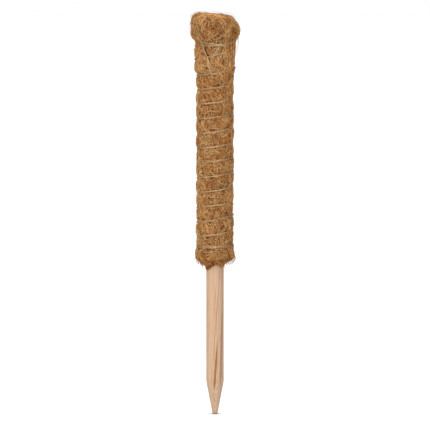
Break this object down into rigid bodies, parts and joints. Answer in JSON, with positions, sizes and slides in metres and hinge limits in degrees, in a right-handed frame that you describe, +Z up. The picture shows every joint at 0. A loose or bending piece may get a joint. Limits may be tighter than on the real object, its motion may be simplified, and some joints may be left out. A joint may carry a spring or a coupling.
{
  "type": "moss pole",
  "caption": "Upright climbing pole for a pot plant: a pointed round wooden stake wrapped in coir matting, with a folded coir cap and a wound jute twine binding.",
  "frame": {"origin": "on the pole's axis at the soil line, the lower edge of the coir", "axes": "+Z up along the pole, the pole's front, where the twine's tail comes down, faces -Y"},
  "size_m": [0.0607, 0.0608, 0.502],
  "materials": {
    "turned_wood": "turned and sanded, untreated",
    "coir": "loose needled coconut fibre",
    "inner_coir": "pressed coconut fibre, out of sight",
    "jute_twine": "twisted, slightly hairy",
    "staple_wire": "bright drawn wire"
  },
  "bodies": {
    "root": {"wooden_stake": "turned_wood", "inner_coir_mat": "inner_coir", "outer_coir_mat": "coir", "coir_top_cap": "coir", "binding_twine": "jute_twine", "mat_staple_1": "staple_wire", "mat_staple_2": "staple_wire", "mat_staple_3": "staple_wire", "mat_staple_4": "staple_wire", "mat_staple_5": "staple_wire"}
  },
  "joints": []
}
